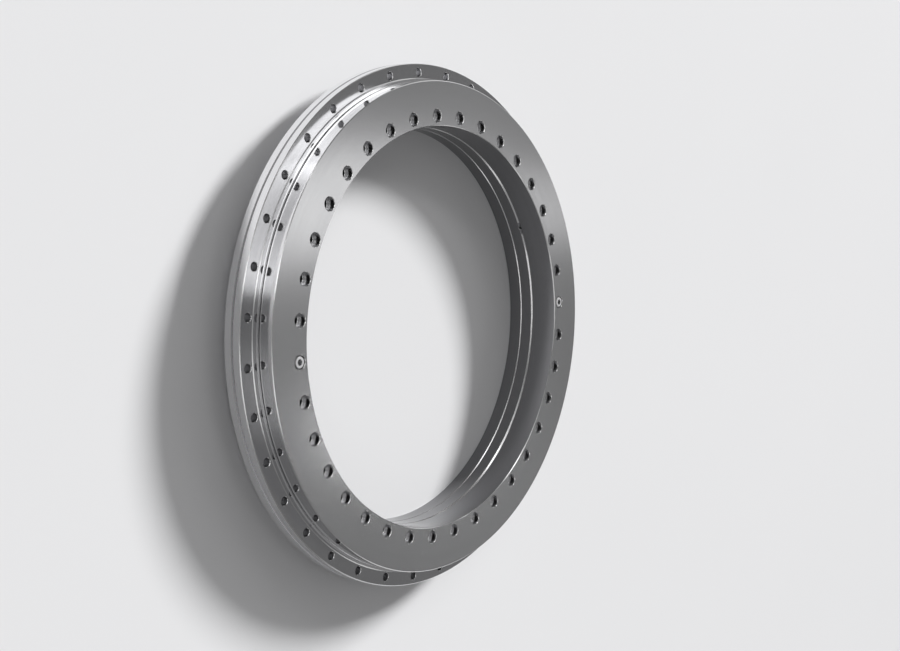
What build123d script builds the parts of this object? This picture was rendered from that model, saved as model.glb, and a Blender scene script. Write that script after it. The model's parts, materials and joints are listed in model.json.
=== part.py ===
"""Axial-radial roller bearing of a rotary table, in millimetres.

It lies on the rear face of its washer at z = 0, and +Z points out of the front face, where the
counterbores of the inner fixing holes are. The holes of both circles stand at whole pitches from +X,
and the two retaining screws at +Y and -Y. The rings come first, then the roller rows between them.
"""
import math
import os

from build123d import *

# Radii, worked outwards from the bore by the wall or space that each one adds
bore_dia = 460.0
bore_to_inner_bolts = 11.0
inner_bolts_to_raceway = 12.0
radial_roller_space = 7.0
axial_raceway_width = 17.5
collar_width = 5.5
collar_to_outer_bolts = 7.0
outer_bolts_to_rim = 10.0
flange_cover = 2.5

# Heights, worked upwards from the rear face
washer_thickness = 18.0
axial_roller_space = 6.0
outer_ring_width = 22.0
flange_thickness = 18.0
collar_clearance = 0.6

# Edges and grooves
face_chamfer = 0.8
bore_chamfer = 0.7
parting_chamfer = 0.8
hidden_chamfer = 1.0
collar_base_bevel = 0.8
rim_groove_width = 3.0
rim_groove_depth = 0.8
bore_groove_width = 3.0
bore_groove_depth = 1.5
oil_hole_dia = 4.0
inner_oil_hole_pitch = -6.5
outer_oil_hole_pitch = -9.5

# Fixing holes
inner_bolt_count = 36
outer_bolt_count = 36
inner_bolt_hole_dia = 9.3
outer_bolt_hole_dia = 9.3

# Retaining screws, socket-head, seated in two of the inner holes
screw_count = 2
first_screw_angle = 90.0
screw_head_dia = 13.0
screw_head_height = 8.0
screw_head_chamfer = 0.8
screw_shank_dia = 8.0
screw_shank_length = 55.0
socket_across_flats = 6.0
socket_depth = 4.0
head_side_clearance = 1.0
head_sink = 0.2
thread_clearance = 0.05
thread_run_out = 3.0

# Roller rows and cages
axial_roller_count = 36
axial_roller_length = 12.0
axial_roller_clearance = 0.1
radial_roller_count = 36
radial_roller_length = 14.0
radial_roller_clearance = 0.2
pocket_clearance = 0.15
segments_per_row = 6
segment_gap_angle = 0.15
axial_cage_thickness = 3.0
axial_cage_rim = 3.0
cage_guide_clearance = 0.4
radial_cage_thickness = 3.2
radial_cage_rim = 3.0

bore_r = bore_dia / 2
inner_bolt_r = bore_r + bore_to_inner_bolts
inner_raceway_r = inner_bolt_r + inner_bolts_to_raceway
outer_raceway_r = inner_raceway_r + radial_roller_space
collar_inner_r = outer_raceway_r + axial_raceway_width
collar_outer_r = collar_inner_r + collar_width
outer_bolt_r = collar_outer_r + collar_to_outer_bolts
rim_r = outer_bolt_r + outer_bolts_to_rim
flange_r = collar_inner_r + flange_cover

washer_front_z = washer_thickness
outer_rear_z = washer_front_z + axial_roller_space
outer_mid_z = outer_rear_z + outer_ring_width / 2
outer_front_z = outer_rear_z + outer_ring_width
flange_rear_z = outer_front_z + axial_roller_space
height = flange_rear_z + flange_thickness

counterbore_dia = screw_head_dia + 2 * head_side_clearance
counterbore_depth = screw_head_height + head_sink
inner_pitch = 360 / inner_bolt_count
outer_pitch = 360 / outer_bolt_count
screw_angles = [first_screw_angle + index * 360 / screw_count for index in range(screw_count)]
free_hole_angles = [
    index * inner_pitch
    for index in range(inner_bolt_count)
    if all(abs(index * inner_pitch - angle) > inner_pitch / 2 for angle in screw_angles)
]


def radial_plane(angle, z):
    """A plane on the axis at height z whose normal points outwards at this angle."""
    outwards = (math.cos(math.radians(angle)), math.sin(math.radians(angle)), 0)
    return Plane(origin=(0, 0, z), x_dir=(0, 0, 1), z_dir=outwards)


def bolt_place(angle, z):
    """The place of one inner fixing hole at height z."""
    x = inner_bolt_r * math.cos(math.radians(angle))
    y = inner_bolt_r * math.sin(math.radians(angle))
    return (x, y, z)


def finish(part, label):
    """Labels one finished piece and writes it to its own file."""
    part.label = label
    export_step(part, f"parts/{label}.step")


os.makedirs("parts", exist_ok=True)

# Outer ring: the half profile in front of its middle plane, mirrored and turned about the axis
half_width = outer_ring_width / 2
collar_top = half_width + axial_roller_space - collar_clearance
with BuildPart() as outer_ring:
    with BuildSketch(Plane.XZ.shift_origin((0, 0, outer_mid_z))):
        with BuildLine():
            Polyline(
                (outer_raceway_r, 0),
                (outer_raceway_r, half_width),
                (collar_inner_r, half_width),
                (collar_inner_r, collar_top),
                (collar_outer_r, collar_top),
                (collar_outer_r, half_width + collar_base_bevel),
                (collar_outer_r + collar_base_bevel, half_width),
                (rim_r - face_chamfer, half_width),
                (rim_r, half_width - face_chamfer),
                (rim_r, rim_groove_width / 2),
                (rim_r - rim_groove_depth, 0),
                close=True,
            )
        make_face()
        mirror(about=Plane.XZ)
    revolve(axis=Axis.Z)
    with Locations((0, 0, outer_front_z)):
        with PolarLocations(outer_bolt_r, outer_bolt_count):
            Hole(outer_bolt_hole_dia / 2)
    with BuildSketch(radial_plane(outer_oil_hole_pitch * outer_pitch, outer_mid_z)):
        Circle(oil_hole_dia / 2)
    extrude(amount=rim_r, mode=Mode.SUBTRACT)
finish(outer_ring.part, "outer_ring")

# L-section ring: hub and front flange in one piece
with BuildPart() as l_section_ring:
    with BuildSketch(Plane.XZ):
        with BuildLine():
            Polyline(
                (bore_r + parting_chamfer, washer_front_z),
                (inner_raceway_r, washer_front_z),
                (inner_raceway_r, flange_rear_z),
                (flange_r - hidden_chamfer, flange_rear_z),
                (flange_r, flange_rear_z + hidden_chamfer),
                (flange_r, height - face_chamfer),
                (flange_r - face_chamfer, height),
                (bore_r + bore_chamfer, height),
                (bore_r, height - bore_chamfer),
                (bore_r, outer_mid_z + bore_groove_width / 2),
                (bore_r + bore_groove_depth, outer_mid_z),
                (bore_r, outer_mid_z - bore_groove_width / 2),
                (bore_r, washer_front_z + parting_chamfer),
                close=True,
            )
        make_face()
    revolve(axis=Axis.Z)
    with Locations((0, 0, height)):
        with PolarLocations(inner_bolt_r, inner_bolt_count):
            CounterBoreHole(inner_bolt_hole_dia / 2, counterbore_dia / 2, counterbore_depth)
    with BuildSketch(radial_plane(inner_oil_hole_pitch * inner_pitch, outer_mid_z)):
        Circle(oil_hole_dia / 2)
    extrude(amount=inner_raceway_r + oil_hole_dia, mode=Mode.SUBTRACT)
finish(l_section_ring.part, "l_section_ring")

# Shaft locating washer: plain behind the L-section ring, threaded only where a retaining screw ends
screw_seat_z = height - counterbore_depth
screw_tip_z = screw_seat_z - screw_shank_length
thread_depth = washer_front_z - screw_tip_z + thread_run_out
with BuildPart() as shaft_locating_washer:
    with BuildSketch(Plane.XZ):
        with BuildLine():
            Polyline(
                (bore_r + bore_chamfer, 0),
                (flange_r - face_chamfer, 0),
                (flange_r, face_chamfer),
                (flange_r, washer_front_z - hidden_chamfer),
                (flange_r - hidden_chamfer, washer_front_z),
                (bore_r + parting_chamfer, washer_front_z),
                (bore_r, washer_front_z - parting_chamfer),
                (bore_r, bore_chamfer),
                close=True,
            )
        make_face()
    revolve(axis=Axis.Z)
    with Locations([bolt_place(angle, washer_front_z) for angle in free_hole_angles]):
        Hole(inner_bolt_hole_dia / 2)
    with Locations([bolt_place(angle, washer_front_z) for angle in screw_angles]):
        Hole(screw_shank_dia / 2 + thread_clearance, depth=thread_depth)
finish(shaft_locating_washer.part, "shaft_locating_washer")

# Retaining screws: shank, head and hexagon socket
for number, angle in enumerate(screw_angles, start=1):
    with BuildPart() as retaining_screw:
        with BuildSketch(Plane(origin=bolt_place(angle, screw_tip_z))):
            Circle(screw_shank_dia / 2)
        extrude(amount=screw_shank_length)
        with BuildSketch(Plane(origin=bolt_place(angle, screw_seat_z))):
            Circle(screw_head_dia / 2)
        extrude(amount=screw_head_height)
        head_top = retaining_screw.faces().sort_by(Axis.Z)[-1]
        chamfer(head_top.edges(), screw_head_chamfer)
        with BuildSketch(Plane(origin=bolt_place(angle, screw_seat_z + screw_head_height))):
            RegularPolygon(socket_across_flats / 2, 6, major_radius=False)
        extrude(amount=-socket_depth, mode=Mode.SUBTRACT)
    finish(retaining_screw.part, f"retaining_screw_{number}")

# Axial rows: rollers lying along the radius, in windows of arc-shaped cage segments
axial_roller_r = axial_roller_space / 2 - axial_roller_clearance
axial_row_r = collar_inner_r - cage_guide_clearance - axial_cage_rim - axial_roller_length / 2
axial_cage_outer_r = collar_inner_r - cage_guide_clearance
axial_cage_inner_r = axial_row_r - axial_roller_length / 2 - axial_cage_rim
rollers_per_segment = axial_roller_count // segments_per_row
axial_roller_pitch = 360 / axial_roller_count
segment_angle = 360 / segments_per_row
axial_rows = {
    "rear": washer_front_z + axial_roller_space / 2,
    "front": outer_front_z + axial_roller_space / 2,
}
for side, row_z in axial_rows.items():
    with BuildPart(Plane.XY.offset(row_z)) as axial_rollers:
        with PolarLocations(axial_row_r, axial_roller_count, start_angle=axial_roller_pitch / 2):
            Cylinder(axial_roller_r, axial_roller_length, rotation=(0, 90, 0))
    finish(axial_rollers.part, f"{side}_axial_rollers")

    for number in range(segments_per_row):
        start = number * segment_angle + segment_gap_angle / 2
        sweep = segment_angle - segment_gap_angle
        first_pocket = number * segment_angle + axial_roller_pitch / 2
        with BuildPart() as cage_segment:
            with BuildSketch(Plane.XY.offset(row_z)):
                with BuildLine():
                    inner_arc = CenterArc((0, 0), axial_cage_inner_r, start, sweep)
                    outer_arc = CenterArc((0, 0), axial_cage_outer_r, start, sweep)
                    Line(inner_arc @ 0, outer_arc @ 0)
                    Line(inner_arc @ 1, outer_arc @ 1)
                make_face()
                with PolarLocations(
                    axial_row_r,
                    rollers_per_segment,
                    start_angle=first_pocket,
                    angular_range=rollers_per_segment * axial_roller_pitch,
                ):
                    Rectangle(
                        axial_roller_length + 2 * pocket_clearance,
                        2 * (axial_roller_r + pocket_clearance),
                        mode=Mode.SUBTRACT,
                    )
            extrude(amount=axial_cage_thickness / 2, both=True)
        finish(cage_segment.part, f"{side}_cage_segment_{number + 1}")

# Radial row: upright rollers in the windows of a cage ring
radial_roller_r = radial_roller_space / 2 - radial_roller_clearance
radial_row_r = (inner_raceway_r + outer_raceway_r) / 2
with BuildPart(Plane.XY.offset(outer_mid_z)) as radial_rollers:
    with PolarLocations(radial_row_r, radial_roller_count):
        Cylinder(radial_roller_r, radial_roller_length)
finish(radial_rollers.part, "radial_rollers")

radial_window_length = radial_roller_length + 2 * pocket_clearance
with BuildPart() as radial_cage:
    with BuildSketch(Plane.XY.offset(outer_mid_z)):
        Circle(radial_row_r + radial_cage_thickness / 2)
        Circle(radial_row_r - radial_cage_thickness / 2, mode=Mode.SUBTRACT)
    extrude(amount=radial_window_length / 2 + radial_cage_rim, both=True)
    with Locations((0, 0, outer_mid_z)):
        with PolarLocations(radial_row_r, radial_roller_count):
            Box(
                2 * radial_cage_thickness,
                2 * (radial_roller_r + pocket_clearance),
                radial_window_length,
                mode=Mode.SUBTRACT,
            )
finish(radial_cage.part, "radial_cage")
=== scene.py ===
# %% [markdown]
# # A rotary table bearing, lying on its rear face
# The bearing is three ground steel rings with rows of rollers between them. Steel has hardly any
# colour of its own: what you see of it is its edges, its drilled holes and what it reflects. So this
# lesson spends its effort on clean round surfaces, on crisp small bevels, and on light.
#
# The packed model gives the true sizes. Its rings are made of flat facets, which a mirror finish
# would show, so the three rings and the two screws are made again here, finer, in exactly the same
# places. The roller rows and their cages keep their packed shape, because they are only seen
# through narrow gaps.

# %% Load the packed model
import json
import math

import bmesh
import bpy
import numpy as np
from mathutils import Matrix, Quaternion, Vector


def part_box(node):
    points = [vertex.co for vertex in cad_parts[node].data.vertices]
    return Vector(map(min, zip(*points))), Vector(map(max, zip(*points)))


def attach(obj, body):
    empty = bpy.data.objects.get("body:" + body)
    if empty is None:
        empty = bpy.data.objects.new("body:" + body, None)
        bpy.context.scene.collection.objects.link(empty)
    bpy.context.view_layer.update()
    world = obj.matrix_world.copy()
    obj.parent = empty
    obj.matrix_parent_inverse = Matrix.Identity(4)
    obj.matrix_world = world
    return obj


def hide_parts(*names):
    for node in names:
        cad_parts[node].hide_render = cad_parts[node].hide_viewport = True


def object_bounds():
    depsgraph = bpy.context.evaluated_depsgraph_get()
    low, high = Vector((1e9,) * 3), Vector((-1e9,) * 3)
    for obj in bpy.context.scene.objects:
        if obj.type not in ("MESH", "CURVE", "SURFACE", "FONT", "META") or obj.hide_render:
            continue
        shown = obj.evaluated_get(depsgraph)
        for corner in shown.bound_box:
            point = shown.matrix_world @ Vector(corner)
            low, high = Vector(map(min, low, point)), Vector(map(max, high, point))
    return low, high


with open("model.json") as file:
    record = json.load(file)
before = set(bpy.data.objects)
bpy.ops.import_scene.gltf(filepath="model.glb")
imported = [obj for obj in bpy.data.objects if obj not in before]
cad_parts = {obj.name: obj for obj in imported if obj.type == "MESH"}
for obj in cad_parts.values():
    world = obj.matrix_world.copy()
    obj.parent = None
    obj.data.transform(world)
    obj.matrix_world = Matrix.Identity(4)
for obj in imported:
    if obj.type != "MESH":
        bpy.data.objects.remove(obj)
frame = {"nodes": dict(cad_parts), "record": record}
cad_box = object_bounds()
mounts = {mount["name"]: mount for mount in frame["record"]["mounts"]}

# %% [markdown]
# ## The camera
# The photograph looks at the bearing's front face from above its rim, a little to one side, and is
# turned so that one side of the ring is at the top of the picture. A place, a point to look at and a
# roll say that in three short lines. The small shift centres the picture as the photograph's is.

# %% Place, aim and roll
camera_place = Vector((0.22105, 1.16517, 0.97479))
camera_aim = Vector((-0.03065, -0.05653, 0.035))
camera_roll = math.radians(94.772)
camera = bpy.data.objects.new("camera", bpy.data.cameras.new("camera"))
bpy.context.scene.collection.objects.link(camera)
bpy.context.scene.camera = camera
level_look = (camera_aim - camera_place).to_track_quat("-Z", "Y")
camera.location = camera_place
camera.rotation_mode = "QUATERNION"
camera.rotation_quaternion = level_look @ Quaternion((0, 0, 1), camera_roll)
camera.data.sensor_width = 36
camera.data.lens = 51.907
camera.data.shift_x = -0.00285
camera.data.shift_y = 0.02198
camera.data.clip_start = 0.01
camera.data.clip_end = 100
print("camera", round((camera_aim - camera_place).length, 3), "m from its aim")

# %% [markdown]
# ## The sizes of the rings
# The interfaces of the record hold the radii that matter most, in millimetres, and the boxes of the
# nodes hold the heights. The rest are small steps and edges, named here in metres.

# %% Radii and heights
MM = 0.001
bore_r = mounts["shaft_bore"]["dims"]["r_mm"] * MM
rim_r = mounts["housing_rim"]["dims"]["r_mm"] * MM
outer_bolt_r = mounts["outer_ring_bolts"]["dims"]["pcd_mm"] * MM / 2
hole_r = mounts["outer_ring_bolts"]["dims"]["hole_r_mm"] * MM
hole_count = mounts["outer_ring_bolts"]["dims"]["count"]
inner_bolt_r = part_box("retaining_screw_1")[0].y / 2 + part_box("retaining_screw_1")[1].y / 2
outer_front_z = mounts["outer_front_face"]["pos_m"][2]
outer_rear_z = mounts["outer_rear_face"]["pos_m"][2]
washer_front_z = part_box("shaft_locating_washer")[1].z
top_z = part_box("l_section_ring")[1].z
collar_front_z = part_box("outer_ring")[1].z
middle_z = (outer_front_z + outer_rear_z) / 2
flange_rear_z = outer_front_z + outer_rear_z - washer_front_z
print("bore", bore_r, "rim", rim_r, "bolts", inner_bolt_r, outer_bolt_r, "hole", hole_r, hole_count)
print("heights", washer_front_z, outer_rear_z, outer_front_z, flange_rear_z, top_z)

# %% Steps, grooves and edges
inner_raceway_r, outer_raceway_r = 253 * MM, 260 * MM
collar_inner_r, collar_outer_r = 277.5 * MM, 283 * MM
flange_r = 280 * MM
face_chamfer, bore_chamfer = 0.8 * MM, 0.7 * MM
parting_chamfer, hidden_chamfer = 0.8 * MM, 1.0 * MM
collar_base_bevel = 0.8 * MM
groove_half_width = 1.5 * MM
rim_groove_depth, bore_groove_depth = 0.8 * MM, 1.5 * MM
counterbore_r, counterbore_depth = 7.5 * MM, 8.2 * MM
mouth_bevel = 0.45 * MM
thread_r, thread_end_z = 4.05 * MM, 3.8 * MM
oil_hole_r, oil_bevel = 2.0 * MM, 0.4 * MM
oil_mouth_r = oil_hole_r + oil_bevel
inner_oil_angle, outer_oil_angle = math.radians(295), math.radians(265)
screw_numbers = (9, 27)
print("flange", flange_r, "collar", collar_inner_r, collar_outer_r, "counterbore", counterbore_r)

# %% [markdown]
# ## Shader maths as plain expressions
# A material is a small calculation: a pattern gives numbers, and the numbers set the roughness or
# tilt the surface a little. `Wire` wraps one value of such a calculation, so that it can be written
# as ordinary arithmetic, and each operation adds its Math node. Any other node comes from `node`.
# Three helpers do what every material here needs: start one, mix two colours, and feed the shader.

# %% The wire
class Wire:
    """One value on its way through a material. Arithmetic on it adds Math nodes."""

    def __init__(self, tree, socket=None):
        self.tree, self.socket = tree, socket

    def node(self, kind, settings=None, sockets=None, output=0):
        """Adds one node: first its settings, then the values or wires of its sockets."""
        made = self.tree.nodes.new("ShaderNode" + kind)
        settings = dict(settings or {})
        stops = settings.pop("stops", [])
        for place, level in stops[1:-1]:
            made.color_ramp.elements.new(place)
        for stop, (place, level) in zip(made.color_ramp.elements if stops else [], stops):
            stop.position = place
            stop.color = (level, level, level, 1)
        for name, value in settings.items():
            setattr(made, name, value)
        for name, value in (sockets or {}).items():
            if isinstance(value, Wire):
                self.tree.links.new(value.socket, made.inputs[name])
            else:
                made.inputs[name].default_value = value
        return Wire(self.tree, made.outputs[output])

    def maths(self, operation, first, second):
        return self.node("Math", {"operation": operation}, {0: first, 1: second})

    def __add__(self, other):
        return self.maths("ADD", self, other)

    def __sub__(self, other):
        return self.maths("SUBTRACT", self, other)

    def __rsub__(self, other):
        return self.maths("SUBTRACT", other, self)

    def __mul__(self, other):
        return self.maths("MULTIPLY", self, other)

    def __pow__(self, other):
        return self.maths("POWER", self, other)

    __radd__ = __add__
    __rmul__ = __mul__


print("a wire can be added, taken away, multiplied and raised to a power")

# %% Start, mix and feed
def new_finish(name):
    """A new material, its Principled shader, and a wire to draw its pattern with."""
    material = bpy.data.materials.new(name)
    material.use_nodes = True
    return material, material.node_tree.nodes["Principled BSDF"], Wire(material.node_tree)


def between(share, light, dark):
    """The light colour where the share is 0, the dark one where it is 1. Sockets 6 and 7 take them."""
    return share.node("Mix", {"data_type": "RGBA"}, {0: share, 6: light, 7: dark}, output=2)


def feed(shader, wires):
    """Links each wire to the shader's socket of that name."""
    for socket, wire in wires.items():
        wire.tree.links.new(wire.socket, shader.inputs[socket])


print("helpers:", new_finish.__name__, between.__name__, feed.__name__)

# %% [markdown]
# ## Turned, ground and polished steel
# A lathe or a ring grinder leaves its marks round the axis, so the pattern must be long round the
# ring and short across it. Here the noise has four dimensions: the distance from the axis and the
# height change it quickly, and the place round the ring only slowly. The same pattern then gives
# circles on a flat face and bands on a wall, with no seam anywhere. It wanders the roughness a
# little, tints the colour slightly, and tilts the surface by tiny amounts through a Bump node.
#
# The rings have seven finishes. The front face is ground to satin, walls and radial raceways are
# polished, axial raceways are lapped, and edges catch the light. The bore and the rim's groove get a
# dark copy of the steel, a painted shade, and the bolt faces of the outer ring are painted a darker
# shade than the front face too. One flank of the bore's groove gets the edge finish, a painted
# highlight. Drilled holes are duller, and blotchy inside.

# %% Marks and clouds
def marks(wire, fineness, length):
    """Noise of (x / length, y / length, z * fineness, r * fineness), with r from the axis outwards."""
    place = wire.node("TexCoord", output="Object")
    stretch = (1 / length, 1 / length, fineness)
    stretched = wire.node("VectorMath", {"operation": "MULTIPLY"}, {0: place, 1: stretch})
    x = wire.node("SeparateXYZ", sockets={0: place}, output="X")
    y = wire.node("SeparateXYZ", sockets={0: place}, output="Y")
    across = (x * x + y * y) ** 0.5 * fineness
    facts = {"Vector": stretched, "W": across, "Scale": 1.0, "Detail": 2.0, "Roughness": 0.6}
    return wire.node("TexNoise", {"noise_dimensions": "4D"}, facts, output="Fac")


def clouds(wire, size):
    """Soft blotches of about this size, in metres."""
    place = wire.node("TexCoord", output="Object")
    facts = {"Vector": place, "Scale": 1 / size, "Detail": 3.0}
    return wire.node("TexNoise", {"noise_dimensions": "3D"}, facts, output="Fac")


print("patterns:", marks.__name__, clouds.__name__)

# %% Steel
def steel(name, light, dark, smooth, wander, fineness, mark_depth, blotch=0.05, metal=1.0):
    """Steel between two colours, with a roughness that wanders and marks that run round the axis."""
    material, shader, wire = new_finish(name)
    fine = marks(wire, fineness, length=0.08)
    broad = marks(wire, fineness / 8, length=0.25)
    soft = clouds(wire, blotch)
    colour = between(broad * 0.6 + soft * 0.4, light, dark)
    roughness = smooth + wander * (fine * 0.35 + broad * 0.4 + soft * 0.25 - 0.5)
    bump = wire.node("Bump", sockets={"Strength": 1.0, "Distance": mark_depth, "Height": fine})
    shader.inputs["Metallic"].default_value = metal
    feed(shader, {"Base Color": colour, "Roughness": roughness, "Normal": bump})
    print("finish", name, len(material.node_tree.nodes), "nodes")
    return material


# %% The finishes of the rings
ground_face = steel(
    "ground_face", (0.66, 0.66, 0.67, 1), (0.58, 0.58, 0.59, 1),
    smooth=0.16, wander=0.08, fineness=1800, mark_depth=3e-6,
)
polished_wall = steel(
    "polished_wall", (0.94, 0.94, 0.95, 1), (0.88, 0.88, 0.89, 1),
    smooth=0.09, wander=0.08, fineness=1500, mark_depth=2e-6,
)
lapped_face = steel(
    "lapped_face", (0.76, 0.76, 0.77, 1), (0.68, 0.68, 0.69, 1),
    smooth=0.15, wander=0.10, fineness=1600, mark_depth=3e-6,
)
bright_edge = steel(
    "bright_edge", (0.88, 0.88, 0.88, 1), (0.80, 0.80, 0.81, 1),
    smooth=0.18, wander=0.10, fineness=2500, mark_depth=2e-6,
)
# Painted shade: a darker copy of the front face's steel, for the bolt faces of the outer ring.
bolt_face = steel(
    "bolt_face", (0.50, 0.50, 0.51, 1), (0.42, 0.42, 0.43, 1),
    smooth=0.15, wander=0.10, fineness=1600, mark_depth=3e-6,
)
drilled_hole = steel(
    "drilled_hole", (0.76, 0.76, 0.77, 1), (0.54, 0.54, 0.55, 1),
    smooth=0.25, wander=0.08, fineness=2400, mark_depth=3e-6, blotch=0.006,
)
# Painted shade: a dark copy of the ring steel, for the bore and the rim's groove.
honed_bore = steel(
    "honed_bore", (0.34, 0.34, 0.35, 1), (0.29, 0.29, 0.30, 1),
    smooth=0.12, wander=0.08, fineness=1400, mark_depth=3e-6,
)
ring_finishes = [
    ground_face, polished_wall, lapped_face, bright_edge, drilled_hole, honed_bore, bolt_face,
]
GROUND, POLISHED, LAPPED, EDGE, DRILLED, PAINTED_SHADE, BOLT_FACE = range(7)
print("ring finishes:", [finish.name for finish in ring_finishes])

# %% [markdown]
# ## Collecting surfaces
# Each surface is worked out as a grid of points, one whole array at a time. A `Shell` collects the
# grids of one piece, with the number of the finish that each one gets. When the piece is done, points
# that coincide are merged, so the shell is closed, and every edge that turns by more than a few
# degrees is marked sharp. Smooth shading then makes the round walls round and keeps the edges crisp.

# %% The shell
class Shell:
    """Grids of points that become the faces of one closed mesh."""

    def __init__(self):
        self.points, self.quads, self.looks, self.count = [], [], [], 0

    def add(self, grid, look=0, keep=None):
        """Adds an array of points, rows by columns by 3, whose neighbours are joined by quads."""
        rows, columns = grid.shape[:2]
        index = np.arange(rows * columns).reshape(rows, columns) + self.count
        quads = np.stack([index[:-1, :-1], index[:-1, 1:], index[1:, 1:], index[1:, :-1]], axis=-1)
        if keep is not None:
            quads = quads[:, keep]
        self.points.append(grid.reshape(-1, 3))
        self.quads.append(quads.reshape(-1, 4))
        self.looks.append(np.full(self.quads[-1].shape[0], look))
        self.count += rows * columns

    def add_each(self, grids, look=0):
        """Adds several grids with the same finish, such as one for each hole."""
        for grid in grids:
            self.add(grid, look)

    def piece(self, name, finishes, body, sharp_degrees=20):
        """Makes the object: doubles merged, faces outwards, edges sharp, riding on its body."""
        mesh = bpy.data.meshes.new(name)
        mesh.from_pydata(np.concatenate(self.points), [], np.concatenate(self.quads))
        mesh.polygons.foreach_set("material_index", np.concatenate(self.looks))
        for finish in finishes:
            mesh.materials.append(finish)
        working = bmesh.new()
        working.from_mesh(mesh)
        bmesh.ops.remove_doubles(working, verts=working.verts, dist=2e-6)
        bmesh.ops.recalc_face_normals(working, faces=working.faces)
        open_edges = sum(1 for edge in working.edges if not edge.is_manifold)
        working.to_mesh(mesh)
        working.free()
        mesh.polygons.foreach_set("use_smooth", np.ones(len(mesh.polygons), dtype=bool))
        mesh.set_sharp_from_angle(angle=math.radians(sharp_degrees))
        made = bpy.data.objects.new(name, mesh)
        bpy.context.scene.collection.objects.link(made)
        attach(made, body)
        print(name, "has", len(mesh.polygons), "faces and", open_edges, "open edges")
        return made


print("a shell can:", [name for name in vars(Shell) if name[0] != "_"])

# %% [markdown]
# ## Turned surfaces
# A ring is turned on a lathe, so its surface is a profile carried round the axis. A point of the
# profile at radius r and height z goes to (r cos a, r sin a, z) for every angle a. The angles fall
# evenly between the holes, so that the drilled faces below meet the turned ones point for point.

# %% Profiles round the axis
steps_per_hole = 20
pitch = 2 * np.pi / hole_count
step = pitch / steps_per_hole
all_round = np.arange(hole_count * steps_per_hole + 1) * step
hole_angles = np.arange(hole_count) * pitch


def turned(profile, at=all_round):
    """The profile's (r, z) points carried round: (r cos a, r sin a, z) for each angle a."""
    profile = np.asarray(profile, float)
    r, z = profile[:, 0, None], profile[:, 1, None]
    return np.stack([r * np.cos(at), r * np.sin(at), z + 0 * at], axis=-1)


print("a step round the rim is", round(step * rim_r * 1000, 2), "mm")

# %% [markdown]
# ## Drilled faces
# A flat face with a circle of holes is cut into equal sectors, one for each hole. Each sector is a
# grid of its own: its first row runs round the hole, its last row runs round the sector's border,
# and the rows between are blends of the two. The points of the border lie on the same angles as the
# turned surfaces, so nothing needs to be cut afterwards, and no shading goes astray.

# %% Circles of holes
round_hole = 72
side_steps = round_hole // 2 - steps_per_hole


def hole_circle(radius, z, bolt_r, at):
    """Round one hole: its middle plus radius times (cos t, sin t), t counted from its sector's corner."""
    corner = np.pi - steps_per_hole / round_hole * np.pi
    t = at + corner + np.arange(round_hole + 1) * 2 * np.pi / round_hole
    x = bolt_r * np.cos(at) + radius * np.cos(t)
    y = bolt_r * np.sin(at) + radius * np.sin(t)
    return np.stack([x, y, np.full_like(t, z)], axis=-1)


def sector_border(inner_r, outer_r, z, at):
    """Round one sector: back along the inner arc, out, forward along the outer arc, and in again."""
    back = np.arange(steps_per_hole, 0, -1) * step - pitch / 2
    forward = np.arange(steps_per_hole) * step - pitch / 2
    out = np.linspace(inner_r, outer_r, side_steps + 1)
    r = np.concatenate([0 * back + inner_r, out[:-1], 0 * forward + outer_r, out[::-1]])
    a = np.concatenate([back, 0 * out[:-1] - pitch / 2, forward, 0 * out + pitch / 2]) + at
    return np.stack([r * np.cos(a), r * np.sin(a), np.full_like(a, z)], axis=-1)


def drilled_sector(inner_r, outer_r, z, bolt_r, radius, at, rows=4):
    """One sector: (1 - s) times the hole's circle plus s times the border, s from 0 to 1."""
    s = np.linspace(0, 1, rows)[:, None, None]
    return (1 - s) * hole_circle(radius, z, bolt_r, at) + s * sector_border(inner_r, outer_r, z, at)


def plain_sector(inner_r, outer_r, z, at):
    """One sector without a hole: the points (r cos a, r sin a, z) between two radii and two angles."""
    along = at - pitch / 2 + np.arange(steps_per_hole + 1) * step
    r = np.linspace(inner_r, outer_r, side_steps + 1)
    return turned(np.stack([r, np.full_like(r, z)], axis=-1), along)


def hole_wall(bolt_r, at, circles):
    """The wall of a hole through the given circles, each a radius and a height, in order."""
    return np.stack([hole_circle(radius, z, bolt_r, at) for radius, z in circles])


print("sector sides have", side_steps, "steps")

# %% [markdown]
# ## Oil holes
# A small oil hole opens in the groove of the bore, and another in the groove of the rim. It runs
# straight out from the axis, so its mouth lies on a curved, grooved wall. Round the mouth, a small
# patch of the wall is made as a grid from the hole to a rectangle of angle and height, and every
# point of it is then put on the wall's own radius. The wall leaves that rectangle open.
#
# The rectangle is eight steps wide and eight high, and its heights are not even: one falls on each
# edge of the groove and one on its bottom, so that the groove stays sharp. The grid from the mouth
# therefore has eight columns to each side, and the groove's own columns can get its dark finish.

# %% Heights and walls
patch_steps = 8
patch_half_height = 5 * MM
upper_heights = np.array([
    0, groove_half_width / 2, groove_half_width,
    (groove_half_width + patch_half_height) / 2, patch_half_height,
])
patch_heights = middle_z + np.concatenate([-upper_heights[:0:-1], upper_heights])
groove_start, groove_bottom, groove_end = 2, 4, 6


def groove(r, depth):
    """The radius at height z: r plus depth, fading in straight lines to r at the groove's edges."""
    return lambda z: r + depth * np.clip(1 - np.abs(z - middle_z) / groove_half_width, 0, None)


def clear_of(at):
    """Which steps round the axis are further from this angle than half the patch is wide."""
    middles = (all_round[:-1] + all_round[1:]) / 2
    return np.abs(np.angle(np.exp(1j * (middles - at)))) > patch_steps / 2 * step


print("patch heights", np.round(patch_heights, 5), "and", np.sum(~clear_of(0)), "steps round")

# %% Oil hole mouths
def oil_circle(radius, wall_r, at):
    """Round the oil hole on a wall: height c sin t, and angle arcsin(c cos t / wall radius)."""
    t = -np.pi * 3 / 4 + np.arange(4 * patch_steps + 1) * 2 * np.pi / (4 * patch_steps)
    z = middle_z + radius * np.sin(t)
    return at + np.arcsin(radius * np.cos(t) / wall_r(z)), z


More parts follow.
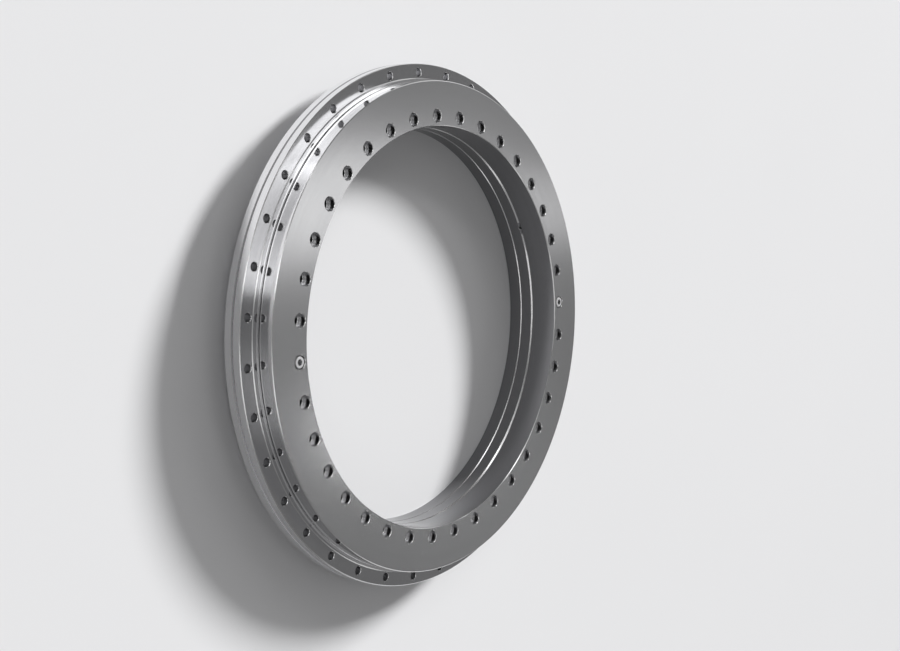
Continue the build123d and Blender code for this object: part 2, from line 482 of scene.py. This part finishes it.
def oil_patch(wall_r, at, rows=5):
    """The patch from the mouth to its rectangle, blended in angle and height, on the wall's radius."""
    along = at + (np.arange(patch_steps + 1) - patch_steps / 2) * step
    low, high = patch_heights[:1], patch_heights[-1:]
    edge_a = np.concatenate([along[:-1], 0 * patch_heights[:-1] + along[-1],
                             along[:0:-1], 0 * patch_heights + along[0]])
    edge_z = np.concatenate([0 * along[:-1] + low, patch_heights[:-1],
                             0 * along[:0:-1] + high, patch_heights[::-1]])
    mouth_a, mouth_z = oil_circle(oil_mouth_r, wall_r, at)
    s = np.linspace(0, 1, rows)[:, None]
    a = (1 - s) * mouth_a + s * edge_a
    z = (1 - s) * mouth_z + s * edge_z
    return np.stack([wall_r(z) * np.cos(a), wall_r(z) * np.sin(a), z], axis=-1)


def groove_columns():
    """Which columns of a patch end in the groove: those of its two upright sides, start to end."""
    side, along = np.divmod(np.arange(4 * patch_steps), patch_steps)
    return (side % 2 == 1) & (along >= groove_start) & (along < groove_end)


def oil_wall(first_r, last_r, at):
    """Oil circles from wall to wall, each at its wall's radius plus an offset: mouth, bore, bore, mouth."""
    inwards = np.sign(last_r(middle_z) - first_r(middle_z)) * oil_bevel
    rows = [(oil_mouth_r, first_r, 0), (oil_hole_r, first_r, inwards),
            (oil_hole_r, last_r, -inwards), (oil_mouth_r, last_r, 0)]
    grids = []
    for radius, wall_r, offset in rows:
        a, z = oil_circle(radius, wall_r, at)
        r = wall_r(z) + offset
        grids.append(np.stack([r * np.cos(a), r * np.sin(a), z], axis=-1))
    return np.stack(grids)


print("columns of a patch in the groove:", np.flatnonzero(groove_columns()))

# %% [markdown]
# ## The L-section ring
# This is the inner ring that carries the table: a hub, and a flange that covers the rollers, in one
# piece. Its front face has thirty-six counterbored fixing holes close to the bore. The wide front
# face is ground to a soft satin, the flange's wall is polished, and the bore is painted dark, a
# painted shade. In the bore's groove, one flank is painted as bright as an edge, a painted highlight
# that draws the light line that shows there.

# %% Hub and flange
l_ring = Shell()
bore_wall = groove(bore_r, bore_groove_depth)
hub_wall = groove(inner_raceway_r, 0.0)
front_edge_z = top_z - face_chamfer
rear_edge_z = flange_rear_z + hidden_chamfer
parting_z = washer_front_z + parting_chamfer
l_ring.add(turned([(flange_r - face_chamfer, top_z), (flange_r, front_edge_z)]), EDGE)
l_ring.add(turned([(flange_r, front_edge_z), (flange_r, rear_edge_z)]), POLISHED)
l_ring.add(turned([(flange_r, rear_edge_z), (flange_r - hidden_chamfer, flange_rear_z)]), EDGE)
l_ring.add(turned([(flange_r - hidden_chamfer, flange_rear_z), (inner_raceway_r, flange_rear_z)]), LAPPED)
l_ring.add(turned([(inner_raceway_r, flange_rear_z), (inner_raceway_r, patch_heights[-1])]), POLISHED)
l_ring.add(turned([(hub_wall(z), z) for z in patch_heights]), POLISHED, clear_of(inner_oil_angle))
l_ring.add(turned([(inner_raceway_r, patch_heights[0]), (inner_raceway_r, washer_front_z)]), POLISHED)
l_ring.add(turned([(bore_r + parting_chamfer, washer_front_z), (bore_r, parting_z)]), EDGE)
# Painted shade: the bore's wall gets the dark painted-shade steel.
l_ring.add(turned([(bore_r, parting_z), (bore_r, patch_heights[0])]), PAINTED_SHADE)
# Painted highlight: in the bore's groove, the lower flank gets the bright edge finish and draws a light
# line.
for part, look in (
    (slice(0, groove_start + 1), PAINTED_SHADE),
    (slice(groove_start, groove_bottom + 1), EDGE),
    (slice(groove_bottom, None), PAINTED_SHADE),
):
    l_ring.add(turned([(bore_wall(z), z) for z in patch_heights[part]]), look, clear_of(inner_oil_angle))
l_ring.add(turned([(bore_r, patch_heights[-1]), (bore_r, top_z - bore_chamfer)]), PAINTED_SHADE)
l_ring.add(turned([(bore_r, top_z - bore_chamfer), (bore_r + bore_chamfer, top_z)]), EDGE)
l_ring.add(oil_patch(bore_wall, inner_oil_angle), PAINTED_SHADE)
l_ring.add(oil_patch(hub_wall, inner_oil_angle), POLISHED)
l_ring.add(oil_wall(bore_wall, hub_wall, inner_oil_angle), DRILLED)
print("hub and flange:", l_ring.count, "points")

# %% Its faces and holes
seat_z = top_z - counterbore_depth
front_mouth = counterbore_r + mouth_bevel
rear_mouth = hole_r + mouth_bevel
l_ring.add_each([drilled_sector(bore_r + bore_chamfer, flange_r - face_chamfer, top_z,
                                inner_bolt_r, front_mouth, at, rows=5) for at in hole_angles], GROUND)
l_ring.add_each([drilled_sector(bore_r + parting_chamfer, inner_raceway_r, washer_front_z,
                                inner_bolt_r, rear_mouth, at) for at in hole_angles], LAPPED)
l_ring.add_each([hole_wall(inner_bolt_r, at, [(front_mouth, top_z), (counterbore_r, top_z - mouth_bevel)])
                 for at in hole_angles], EDGE)
l_ring.add_each([hole_wall(inner_bolt_r, at, [
    (counterbore_r, top_z - mouth_bevel), (counterbore_r, seat_z), (rear_mouth, seat_z),
    (hole_r, seat_z - mouth_bevel), (hole_r, washer_front_z + mouth_bevel), (rear_mouth, washer_front_z),
]) for at in hole_angles], DRILLED)
l_section_ring = l_ring.piece("l_section_ring_turned", ring_finishes, "inner_rings")
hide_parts("l_section_ring")

# %% [markdown]
# ## The outer ring
# The ring that is bolted to the machine lies between the two axial roller rows. A low collar on each
# side keeps the rows in, and a V-groove for oil runs round the middle of the rim. The ring is the same
# in front and behind, so one loop makes both sides. The groove is painted dark, a painted shade,
# because a polished flank that leans back would mirror the bright horizon and draw a white line round
# the rim.

# %% Outer ring
outer = Shell()
rim_wall = groove(rim_r, -rim_groove_depth)
race_wall = groove(outer_raceway_r, 0.0)
for side in (1, -1):
    face_z = middle_z + side * (outer_front_z - middle_z)
    collar_z = middle_z + side * (collar_front_z - middle_z)
    patch_z = middle_z + side * patch_half_height
    bevel_z = face_z + side * collar_base_bevel
    rim_bevel_z = face_z - side * face_chamfer
    bevel_r = collar_outer_r + collar_base_bevel
    outer.add(turned([(outer_raceway_r, patch_z), (outer_raceway_r, face_z)]), POLISHED)
    outer.add(turned([(outer_raceway_r, face_z), (collar_inner_r, face_z)]), LAPPED)
    outer.add(turned([(collar_inner_r, face_z), (collar_inner_r, collar_z)]), POLISHED)
    outer.add(turned([(collar_inner_r, collar_z), (collar_outer_r, collar_z)]), LAPPED)
    outer.add(turned([(collar_outer_r, collar_z), (collar_outer_r, bevel_z)]), POLISHED)
    outer.add(turned([(collar_outer_r, bevel_z), (bevel_r, face_z)]), EDGE)
    outer.add(turned([(rim_r - face_chamfer, face_z), (rim_r, rim_bevel_z)]), EDGE)
    outer.add(turned([(rim_r, rim_bevel_z), (rim_r, patch_z)]), POLISHED)
    outer.add_each([drilled_sector(bevel_r, rim_r - face_chamfer, face_z, outer_bolt_r, rear_mouth, at)
                    for at in hole_angles], BOLT_FACE)
    mouth_circles = [(rear_mouth, face_z), (hole_r, face_z - side * mouth_bevel)]
    outer.add_each([hole_wall(outer_bolt_r, at, mouth_circles) for at in hole_angles], EDGE)
# Painted shade: the rim's groove gets the dark painted-shade steel.
for part, look in (
    (slice(0, groove_start + 1), POLISHED),
    (slice(groove_start, groove_end + 1), PAINTED_SHADE),
    (slice(groove_end, None), POLISHED),
):
    outer.add(turned([(rim_wall(z), z) for z in patch_heights[part]]), look, clear_of(outer_oil_angle))
outer.add(turned([(race_wall(z), z) for z in patch_heights]), POLISHED, clear_of(outer_oil_angle))
outer.add(oil_patch(rim_wall, outer_oil_angle), POLISHED, ~groove_columns())
outer.add(oil_patch(rim_wall, outer_oil_angle), PAINTED_SHADE, groove_columns())
outer.add(oil_patch(race_wall, outer_oil_angle), POLISHED)
outer.add(oil_wall(race_wall, rim_wall, outer_oil_angle), DRILLED)
outer.add_each([hole_wall(outer_bolt_r, at, [
    (hole_r, outer_front_z - mouth_bevel), (hole_r, outer_rear_z + mouth_bevel),
]) for at in hole_angles], DRILLED)
outer_ring = outer.piece("outer_ring_turned", ring_finishes, "outer_ring")
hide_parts("outer_ring")

# %% [markdown]
# ## The shaft locating washer
# The rear ring closes the rollers in from behind. The long fixing screws pass through it, except at
# the two places where a retaining screw is screwed into it to hold the rings together.

# %% Washer
washer = Shell()
washer.add(turned([
    (flange_r, face_chamfer), (flange_r, washer_front_z - hidden_chamfer),
]), POLISHED)
washer.add(turned([(flange_r - face_chamfer, 0), (flange_r, face_chamfer)]), EDGE)
washer.add(turned([
    (flange_r, washer_front_z - hidden_chamfer), (flange_r - hidden_chamfer, washer_front_z),
]), EDGE)
washer.add(turned([
    (bore_r + parting_chamfer, washer_front_z), (bore_r, washer_front_z - parting_chamfer),
]), EDGE)
# Painted shade: the washer's bore gets the dark painted-shade steel too.
washer.add(turned([(bore_r, washer_front_z - parting_chamfer), (bore_r, bore_chamfer)]), PAINTED_SHADE)
washer.add(turned([(bore_r, bore_chamfer), (bore_r + bore_chamfer, 0)]), EDGE)
front_edges = (bore_r + parting_chamfer, flange_r - hidden_chamfer, washer_front_z)
rear_edges = (bore_r + bore_chamfer, flange_r - face_chamfer, 0)
for number, at in enumerate(hole_angles):
    threaded = number in screw_numbers
    radius = thread_r if threaded else hole_r
    mouth = radius + mouth_bevel
    washer.add(drilled_sector(*front_edges, inner_bolt_r, mouth, at), LAPPED)
    if threaded:
        washer.add(plain_sector(*rear_edges, at), GROUND)
        ends = [(radius, thread_end_z), (0, thread_end_z)]
    else:
        washer.add(drilled_sector(*rear_edges, inner_bolt_r, mouth, at), GROUND)
        ends = [(radius, mouth_bevel), (mouth, 0)]
    start = [(mouth, washer_front_z), (radius, washer_front_z - mouth_bevel)]
    washer.add(hole_wall(inner_bolt_r, at, start + ends), DRILLED)
shaft_locating_washer = washer.piece(
    "shaft_locating_washer_turned", ring_finishes, "inner_rings",
)
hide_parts("shaft_locating_washer")

# %% [markdown]
# ## Retaining screws
# Two socket-head screws hold the hub and the washer together while the bearing is handled. Each is a
# turned profile with a threaded shank: along the thread, the radius rises and falls with the height
# and with the angle together, which is what makes a helix. The head has a hexagon socket, and its top
# is only partly metal in the shader, so that it stays light where a mirror would go dark.

# %% Sizes and thread of a screw
screw_steps = 72
screw_round = np.arange(screw_steps + 1) * 2 * np.pi / screw_steps
shank_r, shank_length, head_r, head_height = 4.0 * MM, 55 * MM, 6.5 * MM, 8 * MM
head_bevel, seat_bevel = 0.8 * MM, 0.3 * MM
tip_z, head_z = seat_z - shank_length, seat_z + head_height
socket_r, socket_depth, socket_bevel, socket_point = 3.0 * MM, 4.0 * MM, 0.4 * MM, 0.8 * MM
socket_mouth_r = 1.11 * socket_r
thread_pitch, thread_depth, thread_length = 1.25 * MM, 0.6 * MM, 28 * MM
thread_start, thread_fade = 1 * MM, 2 * MM
SCREW_TOP, SCREW_SIDE, SCREW_EDGE = range(3)


def hexagon(across_half):
    """The distance from the axis to a hexagon's side at angle t: half its width over cos of t from it."""
    return across_half / np.cos((screw_round + np.pi / 6) % (np.pi / 3) - np.pi / 6)


def threaded_shank():
    """The shank's radius less a V that repeats with (z / pitch - t / 2 pi) and fades at both ends."""
    z = np.arange(tip_z + head_bevel, tip_z + thread_length, thread_pitch / 6)[:, None]
    phase = (z - tip_z) / thread_pitch - screw_round / (2 * np.pi)
    v_shape = 2 * np.abs(phase % 1 - 0.5)
    fade = np.clip((z - z[0]) / thread_start, 0, 1) * np.clip((z[-1] - z) / thread_fade, 0, 1)
    return shank_r - thread_depth * v_shape * fade, z + 0 * screw_round


print("a thread of about", round(thread_length / thread_pitch), "turns")

# %% One socket-head screw
def screw_rows(rows, axis_y):
    """Rows of radii and heights round the screw's own axis: (r cos t, y + r sin t, z)."""
    r, z = np.broadcast_arrays(np.array([row[0] + 0 * screw_round for row in rows]),
                               np.array([row[1] + 0 * screw_round for row in rows]))
    return np.stack([r * np.cos(screw_round), axis_y + r * np.sin(screw_round), z], axis=-1)


def socket_screw(name, axis_y, finishes):
    """The whole screw, from the tip of its shank over the head's rounded rim to its socket's bottom."""
    shell = Shell()
    shank_radii, shank_heights = threaded_shank()
    tip = [(0, tip_z), (shank_r - head_bevel, tip_z), (shank_r, tip_z + head_bevel)]
    threaded = list(zip(shank_radii, shank_heights))
    under_head = [(shank_r, seat_z - MM), (shank_r, seat_z), (head_r - seat_bevel, seat_z)]
    side = [(head_r, seat_z + seat_bevel), (head_r, head_z - head_bevel)]
    shell.add(screw_rows(tip, axis_y), SCREW_SIDE)
    shell.add(screw_rows(threaded, axis_y), SCREW_SIDE)
    shell.add(screw_rows([threaded[-1]] + under_head + side, axis_y), SCREW_SIDE)
    bend = np.linspace(0, np.pi / 2, 7)
    crown = [(head_r - head_bevel * (1 - np.cos(t)), head_z - head_bevel * (1 - np.sin(t))) for t in bend]
    shell.add(screw_rows(crown, axis_y), SCREW_EDGE)
    flats = hexagon(socket_r)
    mouth = np.maximum(flats, socket_mouth_r)
    floor_z = head_z - socket_depth
    shell.add(screw_rows([crown[-1], (mouth, head_z)], axis_y), SCREW_TOP)
    shell.add(screw_rows([(mouth, head_z), (flats, head_z - socket_bevel)], axis_y), SCREW_EDGE)
    bottom = [(flats, head_z - socket_bevel), (flats, floor_z + socket_point), (0, floor_z)]
    shell.add(screw_rows(bottom, axis_y), SCREW_SIDE)
    return shell.piece(name, finishes, "inner_rings", sharp_degrees=25)


print("a screw has", screw_steps, "points round its axis")

# %% Two screws, finished
screw_head = steel(
    "screw_head", (0.92, 0.92, 0.93, 1), (0.80, 0.80, 0.81, 1),
    smooth=0.40, wander=0.14, fineness=3000, mark_depth=8e-6, blotch=0.004, metal=0.6,
)
screw_socket = steel(
    "screw_socket", (0.62, 0.62, 0.63, 1), (0.50, 0.50, 0.51, 1),
    smooth=0.16, wander=0.12, fineness=2500, mark_depth=4e-6, blotch=0.004,
)
for node, axis_y in (("retaining_screw_1", inner_bolt_r), ("retaining_screw_2", -inner_bolt_r)):
    screw = socket_screw(node + "_turned", axis_y, [screw_head, screw_socket, bright_edge])
    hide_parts(node)

# %% [markdown]
# ## Rollers and cages
# Through the gap beside the collar you can just see the rollers, and the segments that keep them
# apart. Rollers are lapped almost to a mirror. The segments are moulded, in a dark plastic whose
# skin is dull and slightly mottled, so it has no metal in it at all.

# %% Finishes of the packed nodes
lapped_roller = steel(
    "lapped_roller", (0.78, 0.78, 0.79, 1), (0.70, 0.70, 0.71, 1),
    smooth=0.08, wander=0.06, fineness=2000, mark_depth=1e-6, blotch=0.006,
)


def moulded_plastic(name, light, dark):
    """A dull moulded skin: two close shades in blotches, and a fine pebble that tilts the surface."""
    material, shader, wire = new_finish(name)
    mottle, pebble = clouds(wire, 0.012), clouds(wire, 0.0008)
    colour = between(mottle, light, dark)
    bump = wire.node("Bump", sockets={"Strength": 1.0, "Distance": 3e-5, "Height": pebble})
    feed(shader, {"Base Color": colour, "Roughness": 0.42 + 0.2 * mottle, "Normal": bump})
    return material


cage_skin = moulded_plastic("cage_skin", (0.045, 0.045, 0.042, 1), (0.025, 0.025, 0.024, 1))
for name, node in frame["nodes"].items():
    finish = lapped_roller if "roller" in name else cage_skin
    if "roller" in name or "cage" in name:
        for place in node.material_slots:
            place.material = finish
        print("finished", name)

# %% [markdown]
# ## The floor
# The bearing lies on a pale sheet of paper, so large that its far edge is only a soft horizon. A disc
# of rings that widen outwards keeps its faces few. It lies a tenth of a millimetre below the washer,
# because two surfaces in exactly the same place would fight over which one is seen. Paper isn't
# glossy at all, and its colour drifts a little from place to place.

# %% A pale disc
def floor_disc(radius, z, rings=24, sides=96):
    """The points (s cos a, s sin a, z): radius s grows as the square of its ring, angle a goes round."""
    s = np.linspace(0.0, 1.0, rings + 1)[1:, None] ** 2 * radius
    a = np.linspace(0, 2 * np.pi, sides, endpoint=False)[None, :]
    ring_points = np.stack([s * np.cos(a), s * np.sin(a), np.full((rings, sides), z)], axis=-1)
    points = np.concatenate([[[0, 0, z]], ring_points.reshape(-1, 3)])
    index = 1 + np.arange(rings * sides).reshape(rings, sides)
    turn = np.roll(index, -1, axis=1)
    faces = np.stack([index[:-1], index[1:], turn[1:], turn[:-1]], axis=-1).reshape(-1, 4).tolist()
    faces += np.stack([np.zeros(sides, int), index[0], turn[0]], axis=-1).tolist()
    return points, faces


floor_gap = 0.1 * MM
floor_mesh = bpy.data.meshes.new("floor")
floor_points, floor_faces = floor_disc(radius=14.0, z=cad_box[0].z - floor_gap)
floor_mesh.from_pydata(floor_points, [], floor_faces)
floor = bpy.data.objects.new("floor", floor_mesh)
bpy.context.scene.collection.objects.link(floor)
print("floor", floor_mesh.name, len(floor_mesh.polygons), "faces")

# %% Its paper
floor_paper, floor_shader, floor_wire = new_finish("pale_floor")
floor_shader.inputs["Roughness"].default_value = 0.7
floor_shader.inputs["Specular IOR Level"].default_value = 0.0
floor_tone = between(clouds(floor_wire, 0.6), (0.81, 0.81, 0.82, 1), (0.79, 0.79, 0.80, 1))
feed(floor_shader, {"Base Color": floor_tone})
floor_mesh.materials.append(floor_paper)
print("paper", len(floor_paper.node_tree.nodes), "nodes")

# %% [markdown]
# ## The surround
# Polished steel is only as interesting as what it mirrors. A studio isn't evenly bright: its walls are
# pale low down, dim behind the lamps, and its ceiling is a little lighter again. The world does the
# same with a colour ramp on the height of each direction, from the horizon at 0 to straight up at 1.

# %% Bands from the horizon to the ceiling
world = bpy.data.worlds.new("banded_surround")
world.use_nodes = True
world_wire = Wire(world.node_tree)
direction = world_wire.node("TexCoord", output="Generated")
height = world_wire.node("SeparateXYZ", sockets={0: direction}, output="Z")
low_bands = [(0.0, 0.75), (0.1, 0.70), (0.25, 0.15), (0.5, 0.15), (0.6, 0.24)]
high_bands = [(0.75, 0.26), (0.85, 0.10), (0.94, 0.10), (0.985, 0.30), (1.0, 0.35)]
glow = world_wire.node("ValToRGB", {"stops": low_bands + high_bands}, {0: height})
feed(world.node_tree.nodes["Background"], {"Color": glow})
bpy.context.scene.world = world
bpy.context.scene.view_settings.view_transform = "Standard"
print("surround in", len(low_bands + high_bands), "bands")

# %% [markdown]
# ## The lamps
# One broad low light throws the soft shadow. It is a sun lamp, twelve degrees wide, because a sun
# lights the whole floor evenly, where a box near by would burn out the floor beside it. Steel would
# show it as a blinding patch, so glossy rays don't see it, and a card stands in its place for them.
#
# The other lamps are there to be mirrored. The bolt face and the flange's wall form a corner, and two
# reflections in it show what stands 40 to 46 degrees up. So a broad card, a side card, a high card and
# an edge card stand round the bearing, at that height or a little above, from bright to dim, and give
# the corner its bright and dark lengths. The end card is for the lines in the bore. Behind the
# bearing, two narrow strips draw the soft streaks across the front face, a wide rear card keeps the
# rest of that face grey, and the small patch card leaves a glow on it beside the bore.

# %% The low light
def towards(azimuth, elevation):
    """The unit vector from the bearing in this direction, in degrees: (cos e cos a, cos e sin a, sin e)."""
    a, e = math.radians(azimuth), math.radians(elevation)
    return Vector((math.cos(e) * math.cos(a), math.cos(e) * math.sin(a), math.sin(e)))


def stand_lamp(lamp, azimuth, elevation, distance):
    """Puts a lamp on a stand in this direction and at this distance, facing the bearing."""
    stand = bpy.data.objects.new(lamp.name, lamp)
    stand.location = towards(azimuth, elevation) * distance
    stand.rotation_mode = "QUATERNION"
    stand.rotation_quaternion = (-towards(azimuth, elevation)).to_track_quat("-Z", "Y")
    bpy.context.scene.collection.objects.link(stand)
    return stand


low_light = bpy.data.lights.new("low_light", "SUN")
low_light.energy, low_light.angle = 4.2, math.radians(12)
low_stand = stand_lamp(low_light, azimuth=-58, elevation=29, distance=10)
low_stand.visible_glossy = False
print("low light", low_light.energy, "watts a square metre")

# %% Cards and strips
def card(name, azimuth, elevation, distance, width, height, watts):
    """A rectangle of soft light that faces the bearing. Its radiance is a quarter of watts / area."""
    lamp = bpy.data.lights.new(name, "AREA")
    lamp.shape = "RECTANGLE"
    lamp.size, lamp.size_y, lamp.energy = width, height, watts
    stand_lamp(lamp, azimuth, elevation, distance)
    radiance = 0.25 * watts / (width * height)
    print(name, "radiance about", round(radiance, 2))


card("low_card", azimuth=-58, elevation=29, distance=8, width=3.0, height=2.0, watts=24)
card("broad_card", azimuth=-23, elevation=43.5, distance=5, width=6.2, height=0.6, watts=26)
card("side_card", azimuth=37, elevation=46.5, distance=8, width=7.0, height=0.9, watts=30)
card("high_card", azimuth=98, elevation=56, distance=8, width=7.5, height=0.6, watts=18)
card("edge_card", azimuth=112, elevation=40.5, distance=8, width=4.4, height=0.5, watts=8)
card("end_card", azimuth=186, elevation=33, distance=8, width=3.4, height=0.8, watts=6)
card("rear_strip_high", azimuth=-92.4, elevation=46, distance=8, width=0.8, height=2.5, watts=6)
card("rear_strip_low", azimuth=-92.8, elevation=31.5, distance=8, width=0.5, height=1.5, watts=1.2)
card("rear_card", azimuth=-97, elevation=31, distance=8, width=9.0, height=2.2, watts=4)
card("patch_card", azimuth=-108, elevation=40.4, distance=8, width=0.45, height=0.2, watts=2.2)

# %% [markdown]
